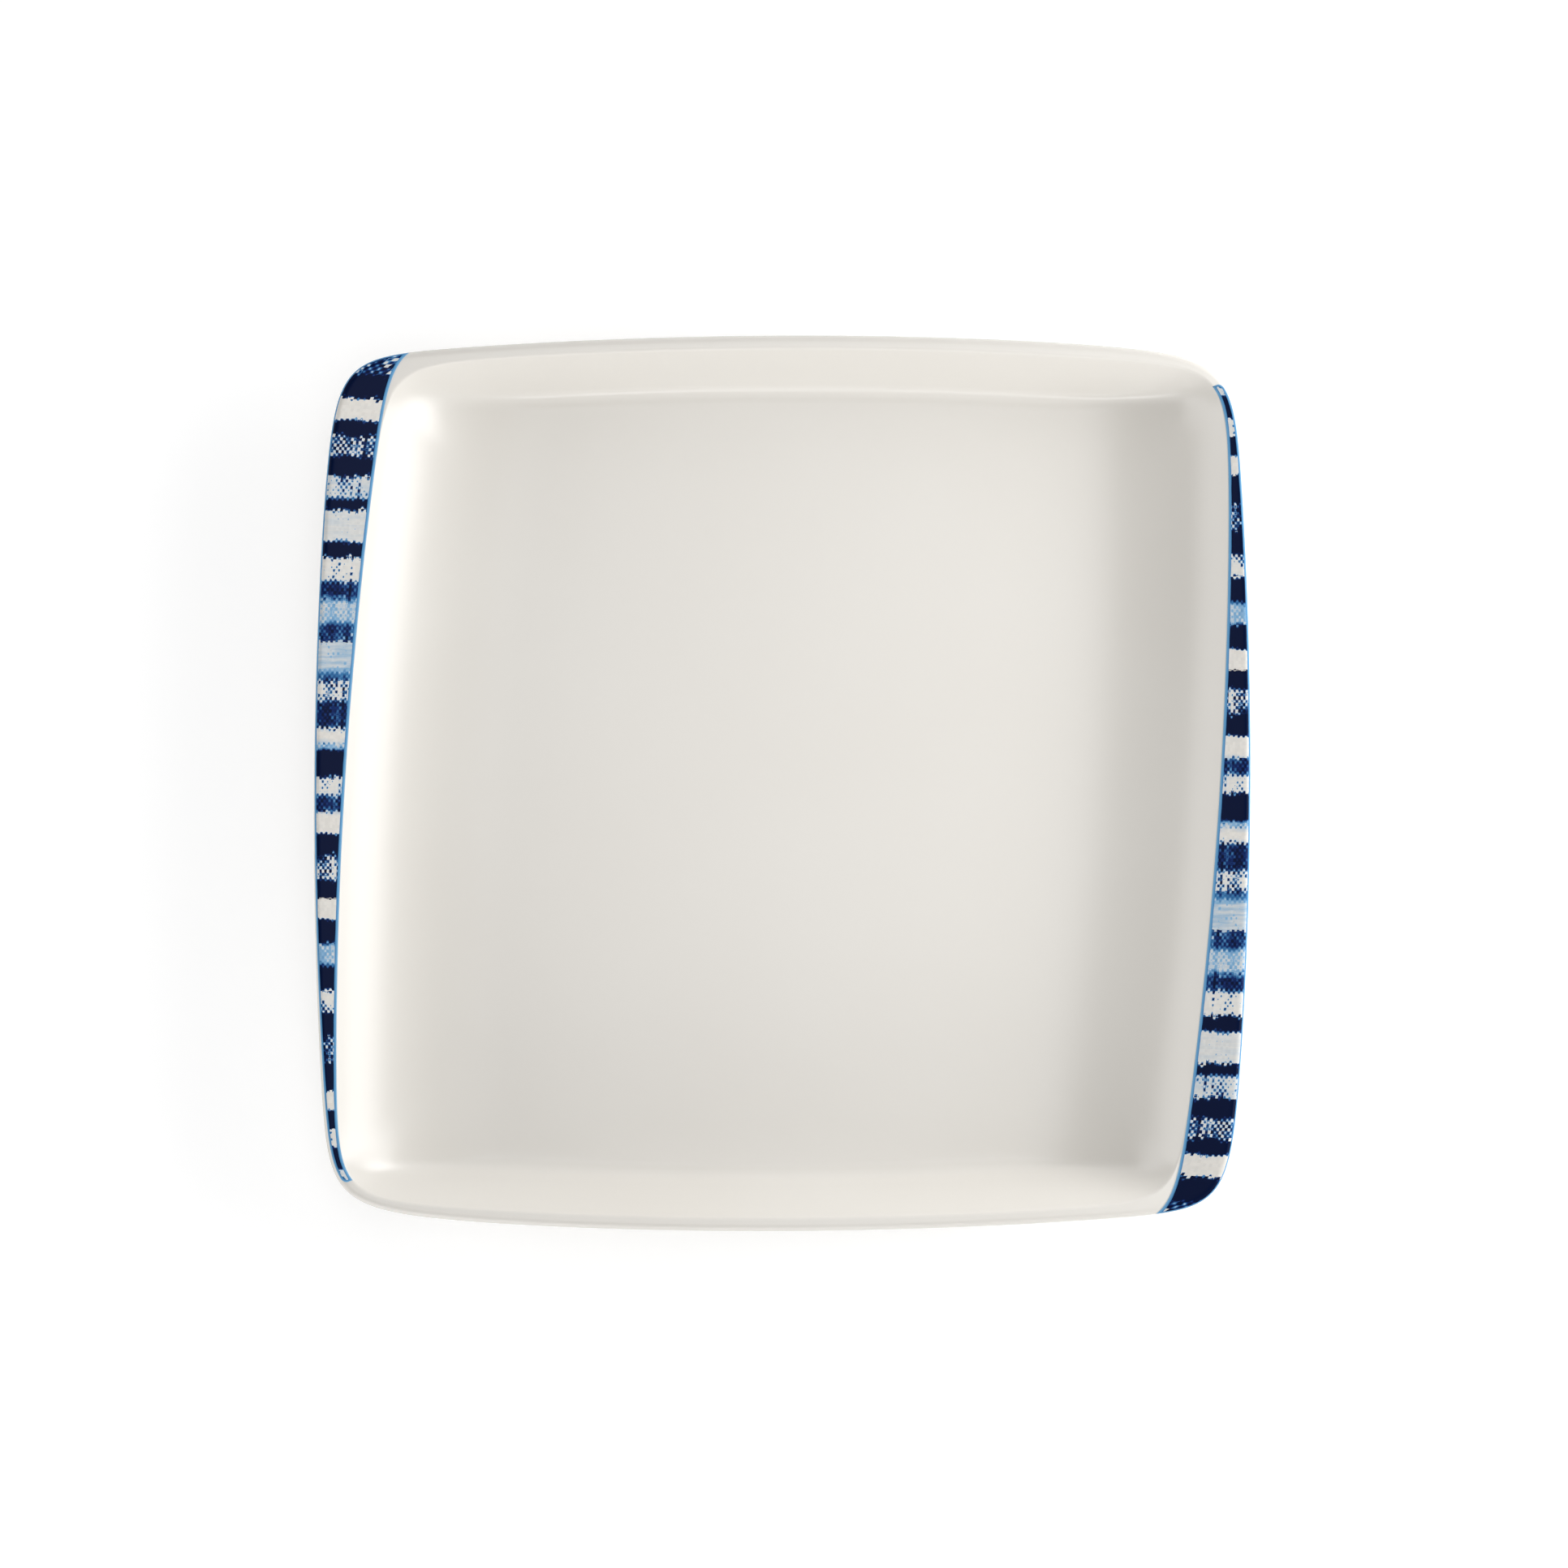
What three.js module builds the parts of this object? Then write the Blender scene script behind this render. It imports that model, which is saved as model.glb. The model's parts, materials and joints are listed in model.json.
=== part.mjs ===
// Square porcelain plate with a printed border on its left and right rims.
// Millimetres, +Z up. X runs from the left border to the right one, Y from the near end to the far one.
// The plate is the same after half a turn about Z, but it has no mirror plane: the well is turned in the rim,
// so each side rim is a crescent, wide at one end and narrow at the other.
import * as THREE from 'three';
import { mergeVertices } from 'three/addons/utils/BufferGeometryUtils.js';

// Overall sizes
const plateLength = 270;
const plateWidth = 258;
const wellDepth = 19.6;
const wallThickness = 4.2;
const footHeight = 2.2;
const glazeThickness = 0.4;

// Plan of the rim: each edge is a shallow arc that leans by some degrees. A higher corner number is sharper,
// and the skew makes each corner tighter before its middle than after it
const rimBulgeRadius = 1400;
const rimSideLean = -0.43;
const rimEndLean = 0.27;
const rimTightCorner = 18.6;
const rimOpenCorner = 15.1;
const rimCornerSkew = 6.1;

// Plan of the crease where the rim turns down into the well
const wellBulgeRadius = 1330;
const sideRimWidth = 9.3;
const endRimWidth = 3.8;
const wellSideLean = -3.84;
const wellEndLean = 0.22;
const wellTightCorner = 20.4;
const wellOpenCorner = 18.1;

// Walls of the well: a long cove at the sides, a steep wall on a tight cove at the ends
const sideWallRun = 46;
const sideCoveRadius = 64;
const endWallRun = 15;
const endCoveRadius = 6.5;
const cornerBlend = 4;
const floorCorner = 8;
const creaseRadius = 1.4;
const lipRadius = 2;

// Foot ring, whose base is wiped clean of glaze up to the glaze line
const footLength = 176;
const footWidth = 212;
const footLean = -2;
const footCorner = 10;
const footRingWidth = 5;
const footFlare = 1;
const footEdge = 0.5;
const glazeLine = 1;

// Printed film, drawn thicker than the ink so that it is a solid
const filmThickness = 0.2;
const filmGap = 0.25;
const filmWideMargin = 0.4;
const filmNarrowMargin = 1.1;
const filmMarginPower = 5;
const filmTipAngle = 222.7;
const filmTipLength = 2.6;
const filmEndWidth = 0.3;
const filmRunOn = 7.5;

// Facets
const rayCount = 64;
const cornerCrowding = 0.62;
const wallSteps = 8;
const outsideSteps = 6;
const creaseSteps = 3;
const lipSteps = 3;
const fineSteps = 30;
const filmSteps = 10;

const floorHeight = footHeight + wallThickness;
const rimHeight = floorHeight + wellDepth;
const { degToRad, lerp } = THREE.MathUtils;

// The two sides and the two ends of a bulged square, each an arc whose crown lies half the length away
function edgesOf(length, width, bulge, sideLean, endLean) {
  return [
    { half: length / 2, bulge, angle: degToRad(sideLean) },
    { half: width / 2, bulge, angle: degToRad(endLean + 90) },
    { half: length / 2, bulge, angle: degToRad(sideLean + 180) },
    { half: width / 2, bulge, angle: degToRad(endLean + 270) },
  ];
}

// Distance from the centre to an edge along a ray
function edgeRay({ half, bulge, angle }, phi) {
  const toCentre = (half - bulge) * Math.cos(phi - angle);
  return toCentre + Math.sqrt(toCentre ** 2 - (half - bulge) ** 2 + bulge ** 2);
}

// A plan curve, as radius by ray angle: a soft minimum of its edges, which rounds the corners
function planCurve(edges, tightCorner, openCorner, skew = 0) {
  return (phi) => {
    const middle = lerp(tightCorner, openCorner, 0.5 + 0.5 * Math.sin(2 * phi));
    const sharpness = middle + skew * Math.sin(4 * phi);
    const sum = edges.reduce((total, edge) => total + edgeRay(edge, phi) ** -sharpness, 0);
    return sum ** (-1 / sharpness);
  };
}

// How much longer a width is along the ray than square to the curve
function slant(curve, phi) {
  const step = 1e-4;
  const change = (curve(phi + step) - curve(phi - step)) / (2 * step);
  return Math.hypot(1, change / curve(phi));
}

const creaseLength = plateLength - 2 * sideRimWidth;
const creaseWidth = plateWidth - 2 * endRimWidth;
const rimEdges = edgesOf(plateLength, plateWidth, rimBulgeRadius, rimSideLean, rimEndLean);
const creaseEdges = edgesOf(creaseLength, creaseWidth, wellBulgeRadius, wellSideLean, wellEndLean);
const footEdges = edgesOf(footLength, footWidth, wellBulgeRadius, footLean, wellEndLean);
const rimCurve = planCurve(rimEdges, rimTightCorner, rimOpenCorner, rimCornerSkew);
const creaseCurve = planCurve(creaseEdges, wellTightCorner, wellOpenCorner);
const footCurve = planCurve(footEdges, footCorner, footCorner);

// Section of a well wall: a cove that leaves the floor level, then a straight slope up to the crease
function wallSection(run, coveRadius) {
  const cove = Math.min(coveRadius, (run ** 2 + wellDepth ** 2) / (2 * wellDepth));
  const reach = Math.hypot(run, cove - wellDepth);
  const slope = Math.atan2(run, cove - wellDepth) - Math.acos(Math.min(1, cove / reach));
  const coveRun = cove * Math.sin(slope);
  return (x) => {
    if (x <= 0) {
      return 0;
    }
    if (x < coveRun) {
      return cove - Math.sqrt(cove ** 2 - x ** 2);
    }
    return wellDepth + (x - run) * Math.tan(slope);
  };
}

const sideWall = { run: sideWallRun, section: wallSection(sideWallRun, sideCoveRadius) };
const endWall = { run: endWallRun, section: wallSection(endWallRun, endCoveRadius) };
const wellWalls = creaseEdges.map((edge, i) => ({ ...edge, ...(i % 2 === 0 ? sideWall : endWall) }));

// Rise of the four walls over the floor at a point, as a soft maximum that coves the inner corners
function wallRise(r, phi) {
  let sum = 0;
  for (const { half, bulge, angle, run, section } of wellWalls) {
    const x = r * Math.cos(phi) - (half - bulge) * Math.cos(angle);
    const y = r * Math.sin(phi) - (half - bulge) * Math.sin(angle);
    const inset = bulge - Math.hypot(x, y);
    sum += section(run - inset) ** cornerBlend;
  }
  return sum ** (1 / cornerBlend);
}

// Height of the well's face on a ray, scaled on each ray so that the crease is level
function wellHeight(r, phi) {
  return floorHeight + (wellDepth * wallRise(r, phi)) / wallRise(creaseCurve(phi), phi);
}

// Where the rays leave the flat floor, rounded at the corners
const floorEdges = wellWalls.map(({ half, bulge, angle, run }) => {
  return { half: half - run, bulge: bulge - run, angle };
});
const floorCurve = planCurve(floorEdges, floorCorner, floorCorner);

// The sizes that shape the section on one ray; the lip is kept within the rim's width
function raySizes(phi) {
  const outer = rimCurve(phi);
  const crease = creaseCurve(phi);
  const stretch = slant(rimCurve, phi);
  const slope = Math.atan(rimHeight - wellHeight(crease - 1, phi));
  const tuck = creaseRadius * Math.tan(slope / 2);
  const lip = Math.min(lipRadius, (0.8 * (outer - crease - tuck)) / stretch);
  return { phi, outer, crease, stretch, slope, tuck, lip, floorEdge: floorCurve(phi) };
}

// Height of the rim's upper face: a round over the crease, a level band and a round lip
function rimTop(r, { outer, crease, stretch, tuck, lip }) {
  const pastLip = (r - outer) / stretch + lip;
  const pastCrease = crease + tuck - r;
  if (pastLip > 0) {
    return rimHeight - lip + Math.sqrt(lip ** 2 - pastLip ** 2);
  }
  if (pastCrease > 0) {
    return rimHeight - creaseRadius + Math.sqrt(creaseRadius ** 2 - pastCrease ** 2);
  }
  return rimHeight;
}

const at = (r, z) => new THREE.Vector2(r, z);
const shares = (count) => Array.from({ length: count + 1 }, (unused, i) => i / count);
const spaced = (points, count) => new THREE.SplineCurve(points).getSpacedPoints(count);

// Section from the centre of the floor, up the wall and over the rim to the widest point of the lip
function upperFace({ phi, outer, crease, stretch, slope, tuck, lip, floorEdge }) {
  const wallTop = crease + tuck - creaseRadius * Math.sin(slope);
  const wall = shares(fineSteps).map((share) => {
    const r = lerp(floorEdge, wallTop, share);
    return at(r, wellHeight(r, phi));
  });
  const creaseRound = shares(creaseSteps).map((share) => {
    const turn = slope * (1 - share);
    const r = crease + tuck - creaseRadius * Math.sin(turn);
    return at(r, rimHeight - creaseRadius * (1 - Math.cos(turn)));
  });
  const lipRound = shares(lipSteps).map((share) => {
    const turn = (share * Math.PI) / 2;
    return at(outer - lip * stretch * (1 - Math.sin(turn)), rimHeight - lip * (1 - Math.cos(turn)));
  });
  return [at(0, floorHeight), ...spaced(wall, wallSteps), ...creaseRound.slice(1), ...lipRound];
}

// Section on from the lip: under the rim, down the wall at one thickness, down the foot to the glaze line
function outerFace({ phi, outer, crease, stretch, slope, lip, floorEdge }) {
  const rimUnder = rimHeight - wallThickness;
  const armpit = crease + wallThickness * Math.tan(slope / 2);
  const underLip = Math.min(lip * stretch, 0.8 * (outer - armpit));
  const lowerLip = shares(2).map((share) => {
    const turn = (share * Math.PI) / 2;
    const drop = lip + (wallThickness - lip) * Math.sin(turn);
    return at(outer - underLip * (1 - Math.cos(turn)), rimHeight - drop);
  });
  const foot = footCurve(phi);
  const shoulder = foot + footFlare;
  const wall = shares(fineSteps).map((share) => {
    const r = lerp(floorEdge, crease, share);
    const tilt = Math.atan(wellHeight(r + 0.5, phi) - wellHeight(r - 0.5, phi));
    return at(r + wallThickness * Math.sin(tilt), wellHeight(r, phi) - wallThickness * Math.cos(tilt));
  });
  const inner = wall.findLast((p) => p.x <= shoulder) ?? wall[0];
  const clear = wall.filter((p) => p.x > shoulder + 1 && p.y < rimUnder - 0.5);
  const line = [at(armpit, rimUnder), ...clear.reverse(), at(shoulder, inner.y)];
  return [...lowerLip.slice(1), ...spaced(line, outsideSteps), at(foot, glazeLine)];
}

// Section of the recess inside the foot ring, from the glaze line to the centre
function recessFace({ phi }) {
  const foot = footCurve(phi) - footRingWidth * slant(footCurve, phi);
  return [at(foot, glazeLine), at(foot - footFlare, footHeight), at(0, footHeight)];
}

// The bare base of the foot ring, between two faces of the body
function footBase(outside, recess) {
  const outerEdge = outside.at(-1).x;
  const innerEdge = recess[0].x;
  return [
    at(outerEdge, footEdge),
    at(outerEdge - footEdge, 0),
    at(innerEdge + footEdge, 0),
    at(innerEdge, footEdge),
  ];
}

// The same section one layer further in
function inset(line, depth) {
  return line.map((p, i) => {
    const before = line[Math.max(i - 1, 0)];
    const after = line[Math.min(i + 1, line.length - 1)];
    const along = after.clone().sub(before).normalize();
    return at(p.x + depth * along.y, p.y - depth * along.x);
  });
}

// Rays crowd towards the corners
const rays = shares(rayCount).slice(0, -1).map((share) => {
  const turn = 2 * Math.PI * share;
  return turn + (cornerCrowding * Math.sin(4 * turn)) / 4;
});

// Faces between successive rings, facing out, where the rings run from the upper pole outwards and on to the
// lower pole. Cells split one way at the open corners and the other way at the tight ones, for smooth coves
function skin(rings) {
  const faces = [];
  for (let k = 0; k + 1 < rings.length; k += 1) {
    const [a, b] = [rings[k], rings[k + 1]];
    const count = Math.max(a.length, b.length);
    for (let i = 0; i < count; i += 1) {
      const next = (i + 1) % count;
      if (a.length === 1) {
        faces.push([a[0], b[i], b[next]]);
      } else if (b.length === 1) {
        faces.push([a[i], b[0], a[next]]);
      } else if (Math.sin(2 * rays[i]) > 0) {
        faces.push([a[i], b[i], a[next]], [b[i], b[next], a[next]]);
      } else {
        faces.push([a[i], b[i], b[next]], [a[i], b[next], a[next]]);
      }
    }
  }
  return faces;
}

const turnedOver = (faces) => faces.map(([a, b, c]) => [a, c, b]);

// Faces of a strip with caps: each row runs across the upper face and back across the lower one
function stripFaces(rows) {
  const faces = [];
  const wide = rows[0].length;
  for (let i = 0; i + 1 < rows.length; i += 1) {
    const [a, b] = [rows[i], rows[i + 1]];
    for (let k = 0; k < wide; k += 1) {
      const next = (k + 1) % wide;
      faces.push([a[k], a[next], b[next]], [a[k], b[next], b[k]]);
    }
  }
  for (const [row, turn] of [[rows[0], turnedOver], [rows.at(-1), (same) => same]]) {
    for (let k = 0; k + 1 < wide / 2; k += 1) {
      const under = wide - 1 - k;
      faces.push(...turn([[row[k], row[k + 1], row[under]], [row[k + 1], row[under - 1], row[under]]]));
    }
  }
  return faces;
}

// One closed body from faces that share their corners
function solid(faces) {
  const loose = new THREE.BufferGeometry();
  const positions = faces.flat().flatMap((corner) => corner.toArray());
  loose.setAttribute('position', new THREE.Float32BufferAttribute(positions, 3));
  const geometry = mergeVertices(loose);
  geometry.computeVertexNormals();
  return geometry;
}

const inSpace = (r, phi, z) => new THREE.Vector3(r * Math.cos(phi), r * Math.sin(phi), z);

// One ring for each point of the section; a point on the axis is a pole
function ringsOf(lines) {
  return lines[0].map((first, k) => {
    const ring = lines.map((line, i) => inSpace(line[k].x, rays[i], line[k].y));
    return first.x === 0 ? ring.slice(0, 1) : ring;
  });
}

const sections = rays.map((phi) => {
  const sizes = raySizes(phi);
  const coat = [...upperFace(sizes), ...outerFace(sizes)];
  const recess = recessFace(sizes);
  const bodyCoat = inset(coat, glazeThickness);
  const bodyRecess = inset(recess, glazeThickness);
  return { coat, recess, bodyCoat, bodyRecess, base: footBase(bodyCoat, bodyRecess) };
});
const ringsFor = (face) => ringsOf(sections.map((section) => section[face]));
const coatRings = ringsFor('coat');
const recessRings = ringsFor('recess');
const bodyCoatRings = ringsFor('bodyCoat');
const bodyRecessRings = ringsFor('bodyRecess');

// Each glaze skin lies on the body's own faces, turned over
const bodyFaces = skin([...bodyCoatRings, ...ringsFor('base'), ...bodyRecessRings]);
const coatFaces = [
  ...skin([...coatRings, bodyCoatRings.at(-1)]),
  ...turnedOver(skin(bodyCoatRings)),
];
const recessFaces = [
  ...skin([bodyRecessRings[0], ...recessRings]),
  ...turnedOver(skin(bodyRecessRings)),
];

// The left film follows the crease, but runs on past its wide corner, as if the far crease lay further out
const farEdge = { ...creaseEdges[1], half: creaseEdges[1].half + filmRunOn };
const filmInner = planCurve([farEdge, ...creaseEdges.slice(2)], wellTightCorner, wellOpenCorner);
const tipAngle = degToRad(filmTipAngle);

function filmOuter(phi) {
  const share = (phi - Math.PI / 2) / (tipAngle - Math.PI / 2);
  const margin = lerp(filmWideMargin, filmNarrowMargin, share ** filmMarginPower);
  return rimCurve(phi) - margin * slant(rimCurve, phi);
}

// The wide end lies where the inner edge runs out at the outer one
function filmWideEnd() {
  let [outside, inside] = [Math.PI / 2, Math.PI];
  for (let i = 0; i < 40; i += 1) {
    const middle = (outside + inside) / 2;
    const open = filmOuter(middle) - filmInner(middle) > filmEndWidth;
    [outside, inside] = open ? [outside, middle] : [middle, inside];
  }
  return inside;
}

// One row of the film on a ray, its points crowded towards both edges; at the tip the outer edge rounds in
function filmRow(phi) {
  const sizes = raySizes(phi);
  const inner = filmInner(phi);
  const toTip = Math.min(1, ((tipAngle - phi) * sizes.outer) / filmTipLength);
  const narrowing = Math.sqrt(1 - (1 - toTip) ** 2);
  const width = Math.max(filmEndWidth, (filmOuter(phi) - inner) * narrowing);
  const radii = shares(filmSteps).map((share) => inner + (width * (1 - Math.cos(Math.PI * share))) / 2);
  const lower = radii.map((r) => inSpace(r, phi, rimTop(r, sizes) + filmGap));
  const upper = radii.map((r) => inSpace(r, phi, rimTop(r, sizes) + filmGap + filmThickness));
  return [...upper, ...lower.reverse()];
}

function borderFilm() {
  const wideEnd = filmWideEnd();
  const tipTurn = filmTipLength / rimCurve(tipAngle);
  const tipStart = tipAngle - tipTurn;
  const tipRays = [0, 0.4, 0.7, 0.9, 1].map((share) => tipStart + tipTurn * share);
  const between = rays.filter((phi) => phi > wideEnd && phi < tipStart);
  return solid(stripFaces([wideEnd, ...between, ...tipRays].map(filmRow)));
}

const biscuit = new THREE.MeshStandardMaterial({ color: 0xe8e2d6, roughness: 0.85 });
const glaze = new THREE.MeshStandardMaterial({ color: 0xe6e3dc, roughness: 0.12 });
const indigoPrint = new THREE.MeshStandardMaterial({ color: 0x33466f, roughness: 0.3 });

const group = new THREE.Group();
group.name = 'square_plate';

function addPiece(name, geometry, material) {
  const mesh = new THREE.Mesh(geometry, material);
  mesh.name = name;
  group.add(mesh);
  return mesh;
}

const film = borderFilm();
addPiece('porcelain_body', solid(bodyFaces), biscuit);
addPiece('glaze_coat', solid(coatFaces), glaze);
addPiece('underside_glaze', solid(recessFaces), glaze);
addPiece('left_border_transfer', film, indigoPrint);
addPiece('right_border_transfer', film, indigoPrint).rotation.z = Math.PI;

export default group;
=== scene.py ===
import json
import math

import bpy
import numpy as np
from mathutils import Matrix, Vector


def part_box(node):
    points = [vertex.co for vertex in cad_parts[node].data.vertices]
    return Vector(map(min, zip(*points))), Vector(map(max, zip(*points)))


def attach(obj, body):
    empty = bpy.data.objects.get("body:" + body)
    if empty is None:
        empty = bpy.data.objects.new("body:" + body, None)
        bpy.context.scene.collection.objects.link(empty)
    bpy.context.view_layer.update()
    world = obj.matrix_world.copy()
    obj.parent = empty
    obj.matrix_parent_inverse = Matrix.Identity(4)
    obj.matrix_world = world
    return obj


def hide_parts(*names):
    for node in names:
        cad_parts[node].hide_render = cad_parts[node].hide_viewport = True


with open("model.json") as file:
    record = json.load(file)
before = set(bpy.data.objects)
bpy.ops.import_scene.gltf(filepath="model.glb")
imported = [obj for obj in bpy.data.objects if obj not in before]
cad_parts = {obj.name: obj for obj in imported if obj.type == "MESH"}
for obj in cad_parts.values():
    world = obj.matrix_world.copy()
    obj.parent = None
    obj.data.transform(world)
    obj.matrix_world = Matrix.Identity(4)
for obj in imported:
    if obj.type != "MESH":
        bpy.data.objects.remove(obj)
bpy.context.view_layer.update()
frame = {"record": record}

mm = 0.001
mounts = {mount["name"]: mount for mount in frame["record"]["mounts"]}
coatLow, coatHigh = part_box("glaze_coat")
_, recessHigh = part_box("underside_glaze")

# The plan and section of the plate, in millimetres and degrees; heights come from the frame
plate = {
    "length": 270,
    "width": 258,
    "rimBulge": 1400,  # radius of the shallow arc that each edge follows
    "rimLean": (-0.43, 0.27),  # how far the side edges and the end edges are turned
    "rimCorners": (18.6, 15.1, 6.1),  # sharpness of the tight and of the open corners, and their skew
    "sideRim": 9.3,
    "endRim": 3.8,
    "wellBulge": 1330,
    "wellLean": (-3.84, 0.22),
    "wellCorners": (20.4, 18.1, 0),
    "sideRun": 46,  # width of a side wall in plan, and the radius of its cove
    "sideCove": 64,
    "endRun": 15,
    "endCove": 6.5,
    "coveEase": (7.6, 2.2),  # length over which a side wall and an end wall ease out of the floor
    "cornerBlend": 2.2,  # power of the soft maximum in the corners, softer when lower
    "floorCorners": (8, 8, 0),
    "creaseRadius": 1.4,
    "lipRadius": 2,
    "lipShare": 0.8,  # most of a narrow rim that its round lip may take
    "underRadius": 2,  # round between the rim's underside and the outer wall
    "underShare": 0.9,
    "wall": 4.2,
    "glaze": 0.4,
    "rimHeight": coatHigh.z / mm,
    "floorHeight": mounts["well_floor"]["pos_m"][2] / mm,
    "slopeStep": 1,  # length over which a slope is measured
    "rays": 440,
    "cornerCrowding": 0.62,  # how far the rays gather at the corners
}
# How many rings each stretch of the section gets
rings = {
    "floor": 12,
    "wall": 30,
    "crease": 8,
    "band": 4,
    "lip": 10,
    "under": 8,
    "skirt": 22,
    "foot": 8,
    "recess": 5,
    "base": 5,
}
foot = {
    "length": 176,
    "width": 212,
    "lean": -2,
    "corners": (10, 10, 0),
    "ringWidth": 5,
    "flare": 1,
    "edge": 0.5,
    "fillet": 1.2,
    "draft": 0.4,  # how far the sides of the ring lean off upright
    "height": recessHigh.z / mm - plate["glaze"],
    "glazeLine": coatLow.z / mm,
}
depth = plate["rimHeight"] - plate["floorHeight"]


# Four bulged edges, right, far, left and near: half size, bulge radius and direction
def edgeSet(length, width, bulge, lean, cut=(0, 0)):
    rows = []
    for side in range(4):
        half = (length, width)[side % 2] / 2
        run = cut[side % 2]
        rows.append((half - run, bulge - run, math.radians(lean[side % 2] + 90 * side)))
    return rows


# Ray length to a bulged edge: c + sqrt(c^2 - a^2 + b^2), with a to the arc's centre and c that along the ray
def edgeRay(phi, edge):
    half, bulge, turn = edge
    along = (half - bulge) * np.cos(phi - turn)
    return along + np.sqrt(along**2 - (half - bulge) ** 2 + bulge**2)


# Plan curve: soft minimum of the edges' ray lengths, (sum of r^-n)^(-1/n), where n sets the corners
def planCurve(phi, edges, corners):
    tight, wide, skew = corners
    n = tight + (wide - tight) * (0.5 + 0.5 * np.sin(2 * phi)) + skew * np.sin(4 * phi)
    return sum(edgeRay(phi, edge) ** -n for edge in edges) ** (-1 / n)


# How much longer a width is along the ray than square to the curve
def slant(phi, edges, corners):
    step = 1e-4
    ahead = planCurve(phi + step, edges, corners)
    behind = planCurve(phi - step, edges, corners)
    return np.hypot(1, (ahead - behind) / (2 * step) / planCurve(phi, edges, corners))


wellLength = plate["length"] - 2 * plate["sideRim"]
wellWidth = plate["width"] - 2 * plate["endRim"]
runs = (plate["sideRun"], plate["endRun"])
coves = (plate["sideCove"], plate["endCove"])
eases = plate["coveEase"]
rimEdges = edgeSet(plate["length"], plate["width"], plate["rimBulge"], plate["rimLean"])
creaseEdges = edgeSet(wellLength, wellWidth, plate["wellBulge"], plate["wellLean"])
floorEdges = edgeSet(wellLength, wellWidth, plate["wellBulge"], plate["wellLean"], runs)
footEdges = edgeSet(foot["length"], foot["width"], plate["wellBulge"], (foot["lean"], plate["wellLean"][1]))


# Wall section: an arc that eases out of the floor, then a straight slope up to the crease
def wallSection(x, run, coveRadius, ease):
    x = (x + np.hypot(x, ease)) / 2
    cove = min(coveRadius, (run**2 + depth**2) / (2 * depth))
    reach = math.hypot(run, cove - depth)
    slope = math.atan2(run, cove - depth) - math.acos(min(1, cove / reach))
    arc = cove - np.sqrt(cove**2 - np.clip(x, 0, cove) ** 2)
    return np.where(x < cove * math.sin(slope), arc, depth + (x - run) * math.tan(slope))


# Rise over the floor: soft maximum of the four walls' sections
def wallRise(r, phi):
    total = 0
    for side, (half, bulge, turn) in enumerate(creaseEdges):
        x = r * np.cos(phi) - (half - bulge) * math.cos(turn)
        y = r * np.sin(phi) - (half - bulge) * math.sin(turn)
        run, cove, ease = runs[side % 2], coves[side % 2], eases[side % 2]
        rise = wallSection(run - bulge + np.hypot(x, y), run, cove, ease)
        total = total + rise ** plate["cornerBlend"]
    return total ** (1 / plate["cornerBlend"])


# Well height on a ray: the rise, lowered more the nearer it is to the crease, so that the crease is level
def wellHeight(r, phi):
    rise = wallRise(r, phi)
    full = wallRise(planCurve(phi, creaseEdges, plate["wellCorners"]), phi)
    return plate["floorHeight"] + rise * (1 - (1 - depth / full) * rise / full)


# The sizes that shape the section on each ray
def raySizes(phi):
    outer = planCurve(phi, rimEdges, plate["rimCorners"])
    crease = planCurve(phi, creaseEdges, plate["wellCorners"])
    stretch = slant(phi, rimEdges, plate["rimCorners"])
    step = plate["slopeStep"]
    slope = np.arctan((plate["rimHeight"] - wellHeight(crease - step, phi)) / step)
    tuck = plate["creaseRadius"] * np.tan(slope / 2)
    lip = np.minimum(plate["lipRadius"], plate["lipShare"] * (outer - crease - tuck) / stretch)
    return outer, crease, stretch, slope, tuck, lip


# Rim height: round over the crease, level band, round lip
def rimTop(r, sizes):
    outer, crease, stretch, _, tuck, lip = sizes
    creaseRadius = plate["creaseRadius"]
    pastLip = np.clip((r - outer) / stretch + lip, 0, lip)
    pastCrease = np.clip(crease + tuck - r, 0, creaseRadius)
    lipDrop = lip - np.sqrt(lip**2 - pastLip**2)
    creaseDrop = creaseRadius - np.sqrt(creaseRadius**2 - pastCrease**2)
    return plate["rimHeight"] - (lipDrop + creaseDrop)


# A column of even shares from 0 to 1
def shares(count):
    return np.linspace(0, 1, count + 1)[:, None]


# Even steps from start to end, one row for each
def between(start, end, count):
    return start + (end - start) * shares(count)


# Round corner from a to c: quadratic curve (1-t)^2 a + 2t(1-t) b + t^2 c
def roundCorner(a, b, c, count):
    t = shares(count)
    curve = [(1 - t) ** 2 * p + 2 * t * (1 - t) * q + t**2 * s for p, q, s in zip(a, b, c)]
    return np.broadcast_arrays(*curve)


# The value at which a rising function of it reaches a target, by halving
def solve(function, target, low, high):
    halvings = 40
    for _ in range(halvings):
        middle = (low + high) / 2
        below = function(middle) < target
        low = np.where(below, middle, low)
        high = np.where(below, high, middle)
    return (low + high) / 2


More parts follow.
